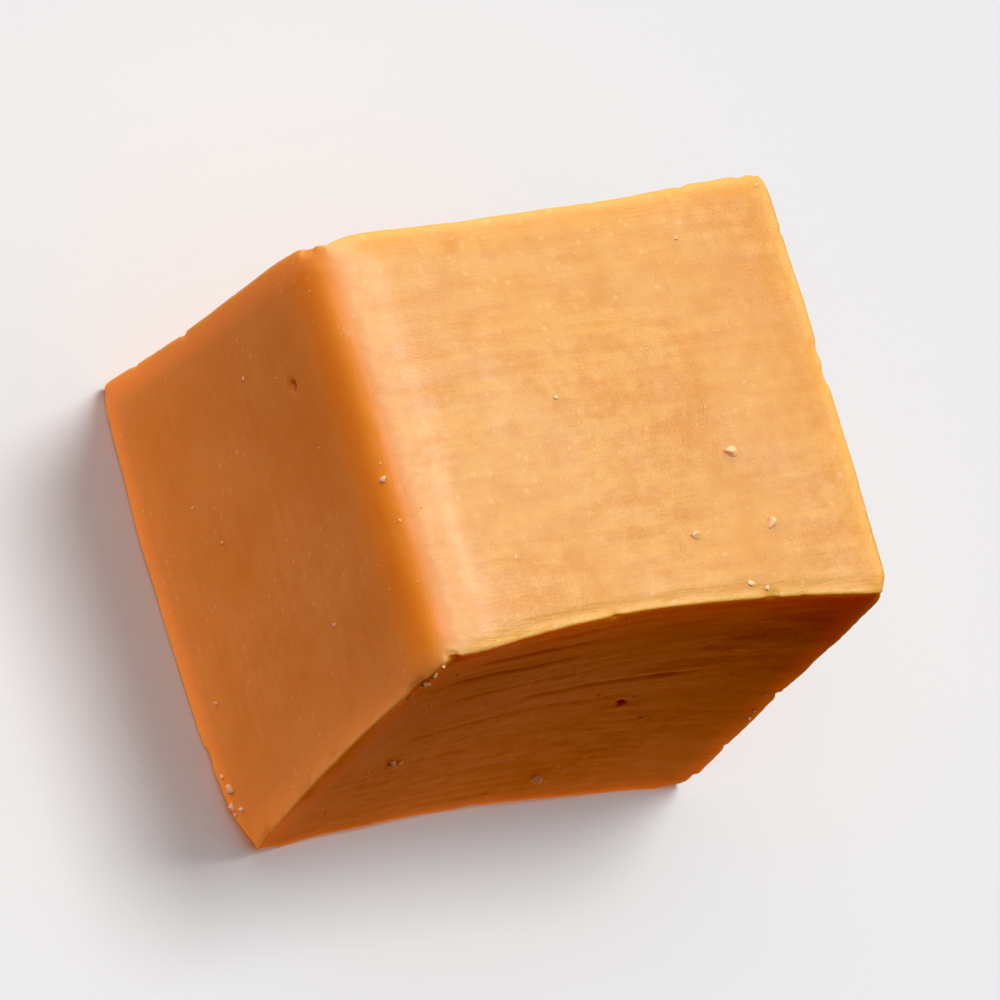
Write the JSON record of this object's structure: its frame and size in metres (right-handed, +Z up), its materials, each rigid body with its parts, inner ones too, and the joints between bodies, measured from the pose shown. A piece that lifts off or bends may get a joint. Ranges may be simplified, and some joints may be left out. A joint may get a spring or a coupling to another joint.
{
  "type": "soft caramel",
  "caption": "Soft caramel sweet: a small hand-cut block with dished sides, one worn top edge and a flat underside to rest on.",
  "frame": {"origin": "middle of the underside, on the surface the sweet rests on", "axes": "+Z up from the underside to the top face; -Y towards the dished front face; -X towards the face whose top edge is worn round"},
  "size_m": [0.0226, 0.0214, 0.0219],
  "materials": {
    "caramel": "satin, waxy, slightly translucent"
  },
  "bodies": {
    "root": {"caramel": "caramel"}
  },
  "joints": []
}
